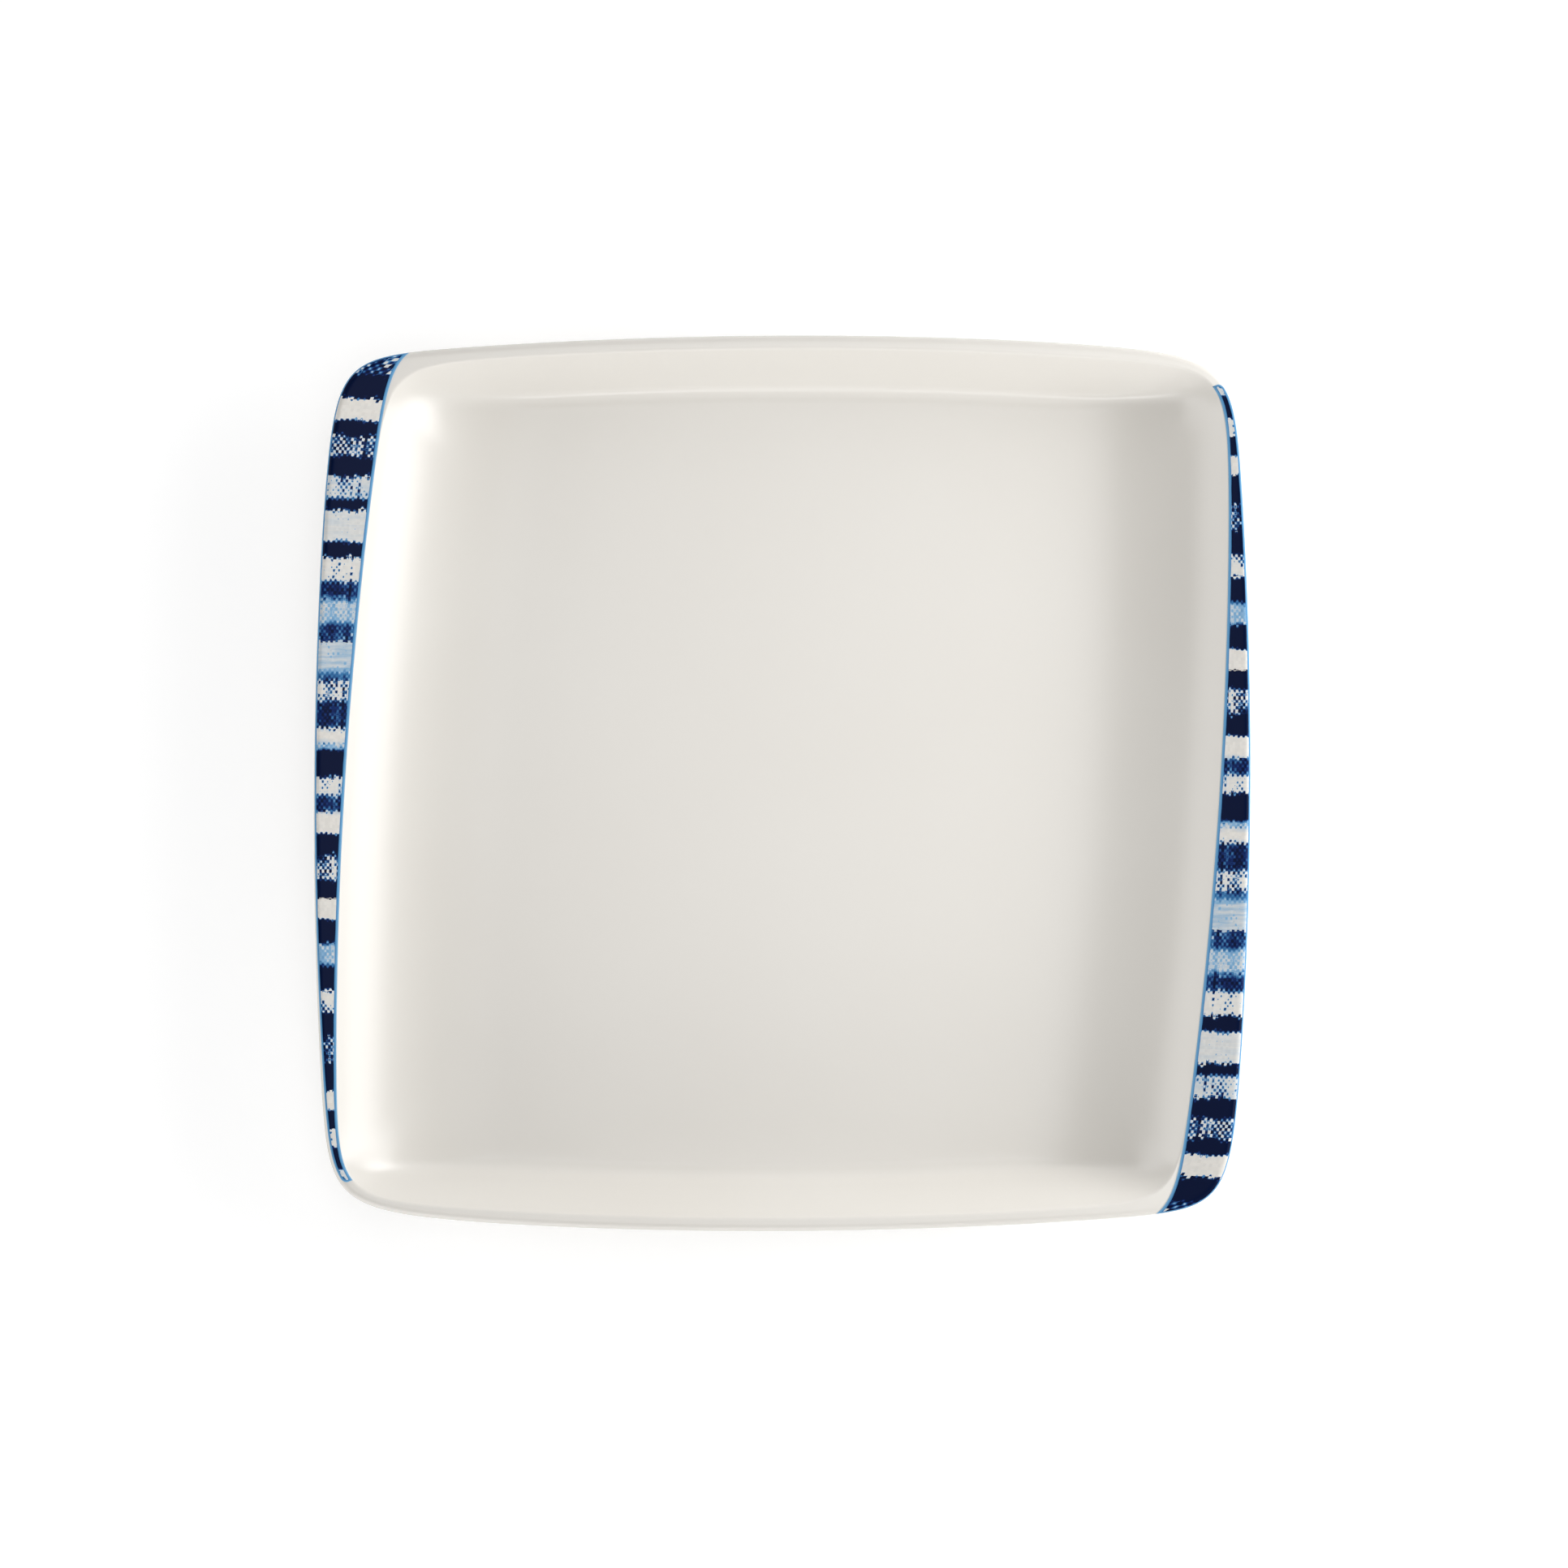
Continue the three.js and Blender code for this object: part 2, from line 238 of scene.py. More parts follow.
# Section of the glazed face from the middle of the well, over the rim and down to the foot's glaze line
def coatSection(phi):
    outer, crease, stretch, slope, tuck, lip = raySizes(phi)
    rimHeight, wall, creaseRadius = plate["rimHeight"], plate["wall"], plate["creaseRadius"]
    floorEdge = planCurve(phi, floorEdges, plate["floorCorners"])
    floorR = between(0 * phi, floorEdge, rings["floor"])
    wallR = between(floorEdge, crease + tuck - creaseRadius * np.sin(slope), rings["wall"])[1:]
    turn = slope * (1 - shares(rings["crease"])[1:])
    creaseR = crease + tuck - creaseRadius * np.sin(turn)
    bandR = between(crease + tuck, outer - lip * stretch, rings["band"])[1:]
    quarter = shares(rings["lip"])[1:] * math.pi / 2
    lipR = outer - lip * stretch * (1 - np.sin(quarter))

    rimUnder = rimHeight - wall
    armpit = crease + wall * np.tan(slope / 2)
    underLip = np.minimum(lip * stretch, plate["lipShare"] * (outer - armpit))
    lowerR = outer - underLip * (1 - np.cos(quarter))
    lowerZ = rimHeight - lip - (wall - lip) * np.sin(quarter)

    # The outer wall lies one wall's thickness square to the well
    def outside(r):
        step = plate["slopeStep"]
        tilt = np.arctan((wellHeight(r + step / 2, phi) - wellHeight(r - step / 2, phi)) / step)
        return r + wall * np.sin(tilt), wellHeight(r, phi) - wall * np.cos(tilt)

    # It starts just under the rim and ends where it meets the foot; both are searched from well inside
    underRadius = plate["underRadius"]
    fillet = np.minimum(underRadius, plate["underShare"] * (outer - underLip - armpit))
    footLine = planCurve(phi, footEdges, foot["corners"])
    footTop = footLine + foot["flare"] + foot["fillet"]
    high = solve(lambda r: outside(r)[1], rimUnder - underRadius * np.sin(slope), 0.6 * crease, crease)
    low = solve(lambda r: outside(r)[0], footTop, 0.5 * footLine, crease)
    highPoint, lowPoint = outside(high), outside(low)
    underR, underZ = roundCorner(
        (armpit + fillet, rimUnder), (armpit, rimUnder), highPoint, rings["under"])
    skirtR, skirtZ = outside(between(high, low, rings["skirt"])[1:])
    footR, footZ = roundCorner(
        lowPoint, (footLine + foot["draft"], lowPoint[1]), (footLine, foot["glazeLine"]), rings["foot"])

    r = np.vstack([floorR, wallR, creaseR, bandR, lipR, lowerR, underR, skirtR, footR[1:]])
    z = np.vstack([
        wellHeight(floorR, phi),
        wellHeight(wallR, phi),
        rimHeight - creaseRadius * (1 - np.cos(turn)) + 0 * creaseR,
        rimHeight + 0 * bandR,
        rimHeight - lip * (1 - np.cos(quarter)),
        lowerZ,
        underZ,
        skirtZ,
        footZ[1:],
    ])
    return r, z


# Section of the recess from the inner glaze line to the middle
def recessSection(phi):
    line = planCurve(phi, footEdges, foot["corners"])
    inner = line - foot["ringWidth"] * slant(phi, footEdges, foot["corners"])
    shoulder = inner - foot["flare"] - foot["fillet"]
    start, end = (inner, foot["glazeLine"]), (shoulder, foot["height"])
    cornerR, cornerZ = roundCorner(start, (inner - foot["draft"], foot["height"]), end, rings["foot"])
    flatR = between(shoulder, 0 * shoulder, rings["recess"])[1:]
    return np.vstack([cornerR, flatR]), np.vstack([cornerZ, foot["height"] + 0 * flatR])


# Bare base of the foot between two lines: two round edges and the standing face
def baseSection(outerLine, innerLine):
    turn = shares(rings["base"]) * math.pi / 2
    edge = foot["edge"]
    r = np.vstack([outerLine - edge * (1 - np.cos(turn)), innerLine + edge * (1 - np.sin(turn))])
    rows = edge * (1 - np.vstack([np.sin(turn), np.cos(turn)]))
    return r, rows + 0 * r


# The same section one layer further in: each point moves square to the line through its neighbours
def inset(r, z, thickness):
    alongR = np.gradient(r, axis=0)
    alongZ = np.gradient(z, axis=0)
    length = np.hypot(alongR, alongZ)
    return r + thickness * alongZ / length, z - thickness * alongR / length


# A smooth mesh from points in millimetres; the faces named by flat stay flat
def newMesh(name, points, faces, flat=None):
    mesh = bpy.data.meshes.new(name)
    mesh.from_pydata((points * mm).tolist(), [], faces)
    smooth = np.ones(len(mesh.polygons), dtype=bool)
    if flat is not None:
        smooth[flat] = False
    mesh.polygons.foreach_set("use_smooth", smooth)
    piece = bpy.data.objects.new(name, mesh)
    bpy.context.collection.objects.link(piece)
    return piece


# Closed skin of rings carried round the plate, from the upper pole outwards and back to the lower pole
def turnedPiece(name, phi, r, z, flatRing=None):
    count = len(phi)
    circles = np.stack([r * np.cos(phi), r * np.sin(phi), z], axis=-1)[1:-1]
    poles = np.array([[0, 0, z[0, 0]], [0, 0, z[-1, 0]]])
    points = np.vstack([poles[:1], circles.reshape(-1, 3), poles[1:]])
    here = np.arange(count)
    after = (here + 1) % count
    start = 1 + count * np.arange(len(circles) - 1)[:, None]
    quads = np.stack([start + here, start + count + here, start + count + after, start + after], axis=-1)
    last = 1 + count * (len(circles) - 1)
    lower = np.full(count, len(points) - 1)
    fans = np.stack([0 * here, 1 + here, 1 + after], axis=-1)
    ends = np.stack([lower, last + after, last + here], axis=-1)
    faces = fans.tolist() + quads.reshape(-1, 4).tolist() + ends.tolist()
    flat = None if flatRing is None else slice(count * flatRing, count * (flatRing + 1))
    return newMesh(name, points, faces, flat)


# Rays round the plate, which gather at its four corners: t + c * sin(4t) / 4
turn = np.linspace(0, 2 * math.pi, plate["rays"], endpoint=False)
phi = turn + plate["cornerCrowding"] * np.sin(4 * turn) / 4
coatR, coatZ = coatSection(phi)
recessR, recessZ = recessSection(phi)
bodyR, bodyZ = inset(coatR, coatZ, plate["glaze"])
bedR, bedZ = inset(recessR, recessZ, plate["glaze"])
baseR, baseZ = baseSection(bodyR[-1], bedR[0])

porcelainBody = turnedPiece(
    "porcelain_body_fine", phi,
    np.vstack([bodyR, baseR, bedR]), np.vstack([bodyZ, baseZ, bedZ]))
glazeCoat = turnedPiece(
    "glaze_coat_fine", phi,
    np.vstack([coatR, bodyR[::-1]]), np.vstack([coatZ, bodyZ[::-1]]), len(coatR) - 1)
undersideGlaze = turnedPiece(
    "underside_glaze_fine", phi,
    np.vstack([bedR[::-1], recessR]), np.vstack([bedZ[::-1], recessZ]), len(bedR) - 1)
print("porcelain and glaze made,", len(coatR), "rings of", len(phi))

# The printed film on a rim, in millimetres and degrees, and how the cloth's stripes lie on it
border = {
    "margin": (0.15, 1.1),  # bare lip beside the print at the wide end and at the tip
    "marginPower": 5,
    "outlineInner": (0.85, 0.8),  # width of the painted line at the wide end and at the tip
    "outlineOuter": (0.35, 0.65),
    "tipAngle": 222.7,  # direction of the tip from the plate's middle
    "tipLength": 2.6,  # length of the round tip
    "runOn": 7.5,  # how far the wide end runs on past the far edge of the well
    "endWidth": 0.05,
    "lift": 0.05,
    "film": 0.08,
    "rows": 420,
    "columns": 28,
    "tilt": 4,  # degrees by which the stripes fall at the wide end
    "tiltFrom": 30,  # how far from the plate's middle they start to fall
    "slip": 2.7,  # how far the right print lies nearer to its wide end, which fades out over a length
    "slipLength": 200,
    "uvUnit": 100,  # length of one unit of its UV map
}
farEdge = (creaseEdges[1][0] + border["runOn"], *creaseEdges[1][1:])
filmEdges = [farEdge, *creaseEdges[2:]]
tipAngle = math.radians(border["tipAngle"])


# The film's inner edge follows the crease
def filmInner(phi):
    return planCurve(phi, filmEdges, plate["wellCorners"])


# Its outer edge leaves a margin on the lip, which grows by a power of the way to the tip
def filmOuter(phi):
    share = (phi - math.pi / 2) / (tipAngle - math.pi / 2)
    wideMargin, tipMargin = border["margin"]
    margin = wideMargin + (tipMargin - wideMargin) * share ** border["marginPower"]
    return planCurve(phi, rimEdges, plate["rimCorners"]) - margin * slant(phi, rimEdges, plate["rimCorners"])


# One loop for each ray: out over the film's upper face and back over its lower one
def filmLoops(upper, lower):
    return np.vstack([upper, lower[::-1]]).T


# Film on rays from the wide end to the tip; across each ray its points crowd towards both edges by a cosine.
# The left one has the sign 1, and the right one, half a turn on, has -1
def borderFilm(name, sign, slip):
    wideEnd = solve(lambda a: filmOuter(a) - filmInner(a), border["endWidth"], math.pi / 2, math.pi)
    rays = np.linspace(wideEnd, tipAngle, border["rows"])
    sizes = raySizes(rays)
    toTip = np.clip((tipAngle - rays) * sizes[0] / border["tipLength"], 0, 1)
    inner = filmInner(rays)
    width = (filmOuter(rays) - inner) * np.sqrt(1 - (1 - toTip) ** 2)
    outer = inner + np.maximum(border["endWidth"], width)
    across = (1 - np.cos(math.pi * shares(border["columns"]))) / 2
    r = inner + (outer - inner) * across
    x, y = r * np.cos(rays), r * np.sin(rays)
    z = rimTop(r, sizes) + border["lift"]

    # Edge is the distance from the film's edge, in widths of the painted line
    innerSlant = np.hypot(1, np.gradient(inner, rays) / inner)
    outerSlant = np.hypot(1, np.gradient(outer, rays) / outer)
    toEnd = np.linspace(0, 1, len(rays))
    innerLine = np.interp(toEnd, (0, 1), border["outlineInner"])
    outerLine = np.interp(toEnd, (0, 1), border["outlineOuter"])
    edge = np.minimum((r - inner) / innerSlant / innerLine, (outer - r) / outerSlant / outerLine)
    edge = np.minimum(edge, (tipAngle - rays) * r / innerLine)

    # Along is the way from the wide end, by which the stripes are laid
    middle = x.mean(axis=0)
    fall = np.clip((y - border["tiltFrom"]) / (y.max() - border["tiltFrom"]), 0, 1)
    along = y.max() - y - np.tan(math.radians(border["tilt"])) * fall * (x - middle)
    along = along + slip * (1 - along / border["slipLength"])

    loop = 2 * (border["columns"] + 1)
    points = np.stack([
        filmLoops(x * sign, x * sign), filmLoops(y * sign, y * sign), filmLoops(z + border["film"], z),
    ], axis=-1).reshape(-1, 3)
    here = np.arange(loop)
    after = (here + 1) % loop
    start = loop * np.arange(len(rays) - 1)[:, None]
    quads = np.stack([start + here, start + after, start + loop + after, start + loop + here], axis=-1)
    step = np.arange(loop // 2 - 1)
    cap = np.stack([step, loop - 1 - step, loop - 2 - step, step + 1], axis=-1)
    tip = cap[:, ::-1] + loop * (len(rays) - 1)
    faces = np.vstack([quads.reshape(-1, 4), cap, tip])
    sides = np.isin(np.arange(len(faces)) % loop, (loop // 2 - 1, loop - 1))
    sides[quads.size // 4:] = True
    piece = newMesh(name, points, faces.tolist(), sides)

    mesh = piece.data
    corner = np.empty(len(mesh.loops), dtype=np.int32)
    mesh.loops.foreach_get("vertex_index", corner)
    offset = x - middle
    band = np.stack([filmLoops(offset, offset), filmLoops(along, along)], axis=-1).reshape(-1, 2)
    onCorners = band[corner] / border["uvUnit"]
    mesh.uv_layers.new(name="band").data.foreach_set("uv", onCorners.ravel().astype(np.float32))
    rim = mesh.attributes.new("edge", "FLOAT", "POINT")
    rim.data.foreach_set("value", filmLoops(edge, edge).ravel().astype(np.float32))
    return piece


leftBorder = borderFilm("left_border_print", 1, 0)
rightBorder = borderFilm("right_border_print", -1, border["slip"])
print("borders made,", border["rows"], "rays of", border["columns"], "steps")


# Colour from sRGB hex to linear, by the standard's curve
def linear(hexColour):
    parts = [int(hexColour[i:i + 2], 16) / 255 for i in (1, 3, 5)]
    return [p / 12.92 if p <= 0.04045 else ((p + 0.055) / 1.055) ** 2.4 for p in parts] + [1]


# Adds a node, links the inputs that are another node's outputs, sets the rest, and returns its outputs
def addNode(tree, kind, inputs=None, **settings):
    made = tree.nodes.new("ShaderNode" + kind)
    for key, value in settings.items():
        setattr(made, key, value)
    for key, value in (inputs or {}).items():
        if isinstance(value, bpy.types.NodeSocket):
            tree.links.new(value, made.inputs[key])
        else:
            made.inputs[key].default_value = value
    return made.outputs


def newMaterial(name):
    material = bpy.data.materials.new(name)
    material.use_nodes = True
    tree = material.node_tree
    return material, tree, tree.nodes["Principled BSDF"]


# Glazed porcelain: dipped and fired, so a hard wet gloss over warm white, very slightly uneven
glazeLook = {
    "colour": "#DFDBD4",
    "cloud": "#E5E2DC",
    "cloudSize": 70,
    "cloudRange": (0.3, 0.7),  # where in the clouds the gloss goes from its best to its dullest
    "roughness": (0.16, 0.22),
    "ripple": 24,  # the glaze runs a little, which bends reflections
    "rippleDepth": 0.004,
    "ior": 1.5,
}


def glazedPorcelain():
    material, tree, shader = newMaterial("glazed porcelain")
    look = glazeLook
    place = addNode(tree, "TexCoord")["Object"]
    cloud = addNode(tree, "TexNoise", {
        "Vector": place, "Scale": 1 / (look["cloudSize"] * mm), "Detail": 2})[0]
    colour = addNode(tree, "Mix", {
        "Factor": cloud, "A": linear(look["colour"]), "B": linear(look["cloud"])}, data_type="RGBA")[2]
    gloss = addNode(tree, "MapRange", {
        "Value": cloud, "From Min": look["cloudRange"][0], "From Max": look["cloudRange"][1],
        "To Min": look["roughness"][0], "To Max": look["roughness"][1]})[0]
    ripple = addNode(tree, "TexNoise", {
        "Vector": place, "Scale": 1 / (look["ripple"] * mm), "Detail": 1})[0]
    relief = addNode(tree, "Bump", {
        "Height": ripple, "Strength": 1, "Distance": look["rippleDepth"] * mm})[0]
    tree.links.new(colour, shader.inputs["Base Color"])
    tree.links.new(gloss, shader.inputs["Roughness"])
    tree.links.new(relief, shader.inputs["Normal"])
    shader.inputs["IOR"].default_value = look["ior"]
    return material


# Biscuit porcelain: bare fired clay on the foot, fine, dry and matte, greyed where it has stood
biscuitLook = {
    "colour": "#DED6C8",
    "worn": "#B9B0A2",
    "grain": 0.6,  # drawn coarser than the real grain of about 0.05, which would not show
    "grainDepth": 0.03,
    "wornPatch": 9,
    "wearRange": (0.5, 0.75),  # where in the patches the wear starts and where it is full
    "wearMost": 0.7,
    "roughness": 0.8,
}


def biscuitPorcelain():
    material, tree, shader = newMaterial("biscuit porcelain")
    look = biscuitLook
    place = addNode(tree, "TexCoord")["Object"]
    grain = addNode(tree, "TexNoise", {
        "Vector": place, "Scale": 1 / (look["grain"] * mm), "Detail": 3})[0]
    patch = addNode(tree, "TexNoise", {
        "Vector": place, "Scale": 1 / (look["wornPatch"] * mm), "Detail": 4})[0]
    wear = addNode(tree, "MapRange", {
        "Value": patch, "From Min": look["wearRange"][0], "From Max": look["wearRange"][1],
        "To Min": 0, "To Max": look["wearMost"]})[0]
    colour = addNode(tree, "Mix", {
        "Factor": wear, "A": linear(look["colour"]), "B": linear(look["worn"])}, data_type="RGBA")[2]
    relief = addNode(tree, "Bump", {
        "Height": grain, "Strength": 1, "Distance": look["grainDepth"] * mm})[0]
    tree.links.new(colour, shader.inputs["Base Color"])
    tree.links.new(relief, shader.inputs["Normal"])
    shader.inputs["Roughness"].default_value = look["roughness"]
    return material


# Ceramic ink: a screened transfer of an indigo cloth, fused on the glaze, so flat, crisp and faintly glossy
printLook = {
    "thread": (0.7, 0.92),  # one crossing of the cloth's threads, across and along the border
    "wander": (0.5, 1.4),  # how far the threads stray, and over what length
    "ragged": 0.8,  # how unevenly the dye stops along the threads
    "weave": 0.42,  # how far the turns over and under decide where the dye lies, against chance
    "warpChance": 0.5,  # how far that chance goes by whole threads of the warp
    "drift": (5, 0.6),  # size of the patches in which a stripe is denser or thinner, and by how much
    "streak": (8, 0.9),  # size of the lines along the weft in which the ground is tinted more or less
    "streakRange": (0.4, 0.65),
    "streakTint": (0.6, 1.4),
    "ink": (("#8FB8D8", 0), ("#3F7BB0", 0.07), ("#152D68", 0.19), ("#081434", 0.32)),
    "cream": ("#E0DCD5", "#E9E5DE"),
    "wash": "#72A8CE",
    # the printed line's blue, light at the film's edge and deeper inwards; the light end is a painted
    # highlight of the rounded rim edge
    "outlineWithEdgeHighlight": ("#7FB5DC", "#3F7FB4"),
    "outlineWaver": (0.85, 1.15),
    "roughness": (0.06, 0.1),
    "fullInk": 0.3,  # excess of ink at which the roughness is highest
    "inkDepth": 0.01,
    "lean": 16,  # degrees by which the print's shading leans to the middle, which evens out the light
    "coatRoughness": 0.08,
    "coatIor": 1.12,
    # How much ink, how deep its dye, how far the ground is tinted, how softly the stripe ends
    "kinds": {
        "cream": (-0.1, 1.0, 0.03, 2.6),
        "flecked": (0.24, 1.0, 0.08, 2.6),
        "lined": (0.1, 0.5, 0.2, 2.6),
        "navy": (1.4, 1.0, 0.0, 2.6),
        "faded": (1.05, 0.4, 0.7, 2.8),
        "speckle": (0.6, 1.0, 0.14, 2),
        "thin": (0.42, 0.7, 0.25, 2.6),
        "check": (0.48, 1.0, 0.1, 2),
        "twill": (0.85, 0.5, 0.8, 1.6),
        "blue": (0.9, 0.22, 0.9, 2),
        "pale": (0.48, 0.08, 0.4, 2.8),
        "washed": (0.22, 0.08, 0.5, 2.8),
    },
    # Stripes from the wide end to the tip, with their widths
    "stripes": [
        ("speckle", 7.4), ("navy", 6), ("cream", 6.5), ("navy", 4), ("speckle", 7), ("navy", 4.5),
        ("thin", 7.5), ("navy", 2.5), ("lined", 9.5), ("navy", 4), ("flecked", 7.5), ("faded", 5),
        ("pale", 7), ("twill", 5), ("washed", 8.5), ("blue", 2.5), ("check", 6.5), ("faded", 7.5),
        ("cream", 4), ("pale", 2), ("navy", 7.5), ("flecked", 6), ("faded", 4.5), ("cream", 6.5),
        ("navy", 5.5), ("speckle", 2), ("check", 6), ("navy", 5), ("cream", 6), ("navy", 6.5),
        ("pale", 7), ("navy", 6.5), ("flecked", 5), ("check", 2.5), ("navy", 5.5), ("speckle", 9),
        ("navy", 7), ("cream", 6), ("navy", 5), ("flecked", 6), ("navy", 5), ("thin", 6),
    ],
    "stripesPerRamp": 14,  # a ramp takes 32 stops, and a stripe needs two
    "inkRange": (-0.5, 1.5),  # inks that fit a ramp's range from 0 to 1
}


# Ramps end to end along the border hold the stripes: red is the ink, green its depth, blue the ground's tint
def stripePlan(tree, along):
    look = printLook
    lowInk, highInk = look["inkRange"]
    stripe = None
    done = 0
    for first in range(0, len(look["stripes"]), look["stripesPerRamp"]):
        part = look["stripes"][first:first + look["stripesPerRamp"]]
        length = sum(width for _, width in part)
        place = addNode(tree, "MapRange", {"Value": along, "From Min": done, "From Max": done + length})[0]
        ramp = addNode(tree, "ValToRGB", {0: place})[0]
        stops = ramp.node.color_ramp.elements
        stops.remove(stops[1])
        start = 0
        for kind, width in part:
            ink, depth, wash, soft = look["kinds"][kind]
            for end in (start + soft / 2, start + width - soft / 2):
                stops.new(end / length).color = ((ink - lowInk) / (highInk - lowInk), depth, wash, 1)
            start += width
        stops.remove(stops[0])
        past = addNode(tree, "Math", {0: along, 1: done}, operation="GREATER_THAN")[0]
        stripe = ramp if stripe is None else addNode(tree, "Mix", {
            "Factor": past, "A": stripe, "B": ramp}, data_type="RGBA")[2]
        done += length
    return addNode(tree, "SeparateColor", {0: stripe})


# How high the ink has to stand to show: chance, and a level that goes with the threads, sin(u) * sin(v)
def threadLevel(tree, threads, cell, chance):
    look = printLook
    angle = addNode(tree, "VectorMath", {0: threads, 1: (math.pi, math.pi, 1)}, operation="MULTIPLY")[0]
    wave = addNode(tree, "VectorMath", {0: angle}, operation="SINE")[0]
    warpWave, weftWave, _ = addNode(tree, "SeparateXYZ", {0: wave})
    turns = addNode(tree, "Math", {0: warpWave, 1: weftWave}, operation="MULTIPLY")[0]
    over = addNode(tree, "MapRange", {"Value": turns, "From Min": -1})[0]
    column, _, _ = addNode(tree, "SeparateXYZ", {0: cell})
    warp = addNode(tree, "TexWhiteNoise", {"W": column}, noise_dimensions="1D")[0]
    plain = addNode(tree, "Mix", {"Factor": look["warpChance"], "A": chance, "B": warp})[0]
    return addNode(tree, "Mix", {"Factor": look["weave"], "A": plain, "B": over})[0]


def printedBorder():
    material, tree, shader = newMaterial("ceramic ink on glaze")
    look = printLook
    unit = border["uvUnit"]
    band = addNode(tree, "UVMap", uv_map="band")[0]

    # Threads stray a little, and each crossing of two threads is one cell with its own chance of ink
    far, length = look["wander"]
    stray = addNode(tree, "TexNoise", {"Vector": band, "Scale": unit / length, "Detail": 3})[1]
    moved = addNode(tree, "VectorMath", {
        0: stray, 1: [far / unit] * 3, 2: band}, operation="MULTIPLY_ADD")[0]
    pitch = (look["thread"][0] / unit, look["thread"][1] / unit, 1)
    threads = addNode(tree, "VectorMath", {0: moved, 1: pitch}, operation="DIVIDE")[0]
    cell = addNode(tree, "VectorMath", {0: threads}, operation="FLOOR")[0]
    chance, tints = addNode(tree, "TexWhiteNoise", {"Vector": cell}, noise_dimensions="2D")
    stop, tint, _ = addNode(tree, "SeparateColor", {0: tints})
    run = addNode(tree, "MapRange", {
        "Value": stop, "To Min": -look["ragged"] / 2, "To Max": look["ragged"] / 2})[0]
    _, down, _ = addNode(tree, "SeparateXYZ", {0: moved})
    along = addNode(tree, "Math", {0: down, 1: unit, 2: run}, operation="MULTIPLY_ADD")[0]
    share, depth, wash = stripePlan(tree, along)

    # Dye shows where the stripe's ink stands over the threads' level
    size, spread = look["drift"]
    lowInk, highInk = look["inkRange"]
    patch = addNode(tree, "TexNoise", {"Vector": band, "Scale": unit / size, "Detail": 2})[0]
    drift = addNode(tree, "MapRange", {
        "Value": patch, "To Min": lowInk - spread / 2, "To Max": lowInk + spread / 2})[0]
    ink = addNode(tree, "Math", {0: share, 1: highInk - lowInk, 2: drift}, operation="MULTIPLY_ADD")[0]
    level = threadLevel(tree, threads, cell, chance)
    excess = addNode(tree, "Math", {0: ink, 1: level}, operation="SUBTRACT")[0]
    inked = addNode(tree, "Math", {0: excess, 1: 0}, operation="GREATER_THAN")[0]

    # The ground is cream, tinted in lines along the weft
    lines = addNode(tree, "VectorMath", {
        0: moved, 1: (unit / look["streak"][0], unit / look["streak"][1], 1)}, operation="MULTIPLY")[0]
    streak = addNode(tree, "TexNoise", {"Vector": lines, "Scale": 1, "Detail": 2})[0]
    lined = addNode(tree, "MapRange", {
        "Value": streak, "From Min": look["streakRange"][0], "From Max": look["streakRange"][1],
        "To Min": look["streakTint"][0], "To Max": look["streakTint"][1]})[0]
    tinted = addNode(tree, "Math", {0: wash, 1: lined}, operation="MULTIPLY", use_clamp=True)[0]
    cream = addNode(tree, "Mix", {
        "Factor": tint, "A": linear(look["cream"][0]), "B": linear(look["cream"][1])}, data_type="RGBA")[2]
    ground = addNode(tree, "Mix", {
        "Factor": tinted, "A": cream, "B": linear(look["wash"])}, data_type="RGBA")[2]

    # The dye is pale at its edges and darkens inwards
    strength = addNode(tree, "Math", {0: excess, 1: depth}, operation="MULTIPLY")[0]
    dye = addNode(tree, "ValToRGB", {0: strength})[0]
    shades = dye.node.color_ramp.elements
    shades.remove(shades[1])
    for shade, place in look["ink"]:
        shades.new(place).color = linear(shade)
    shades.remove(shades[0])
    dyed = addNode(tree, "Mix", {"Factor": inked, "A": ground, "B": dye}, data_type="RGBA")[2]

    # A printed line of uneven width goes round the print. Its blue goes from light at the film's edge to
    # deeper inwards: the line is print, and its light edge is a painted highlight, the shine of the rounded
    # rim edge under it
    edge = addNode(tree, "Attribute", attribute_name="edge")["Fac"]
    thin, wide = look["outlineWaver"]
    waver = addNode(tree, "MapRange", {"Value": patch, "To Min": thin, "To Max": wide})[0]
    light, dark = look["outlineWithEdgeHighlight"]
    outlineWithEdgeHighlight = addNode(tree, "Mix", {
        "Factor": edge, "A": linear(light), "B": linear(dark)}, data_type="RGBA")[2]
    painted = addNode(tree, "Math", {0: edge, 1: waver}, operation="LESS_THAN")[0]
    colour = addNode(tree, "Mix", {"Factor": painted, "A": dyed, "B": outlineWithEdgeHighlight}, data_type="RGBA")[2]
    gloss = addNode(tree, "MapRange", {
        "Value": excess, "From Max": look["fullInk"],
        "To Min": look["roughness"][0], "To Max": look["roughness"][1]})[0]

    # The shading leans to the plate's middle line by a height of tan(lean) * |x|, and ink stands proud on it
    spot = addNode(tree, "TexCoord")["Object"]
    across, _, _ = addNode(tree, "SeparateXYZ", {0: spot})
    outward = addNode(tree, "Math", {0: across}, operation="ABSOLUTE")[0]
    leaning = addNode(tree, "Bump", {
        "Height": outward, "Strength": 1, "Distance": math.tan(math.radians(look["lean"]))})[0]
    relief = addNode(tree, "Bump", {
        "Height": inked, "Strength": 1, "Distance": look["inkDepth"] * mm, "Normal": leaning})[0]
    tree.links.new(colour, shader.inputs["Base Color"])
    tree.links.new(gloss, shader.inputs["Roughness"])
    tree.links.new(relief, shader.inputs["Normal"])

    # The faint gloss is a coat of its own, which doesn't lean
    shader.inputs["Specular IOR Level"].default_value = 0
    shader.inputs["Coat Weight"].default_value = 1
    shader.inputs["Coat Roughness"].default_value = look["coatRoughness"]
    shader.inputs["Coat IOR"].default_value = look["coatIor"]
    return material


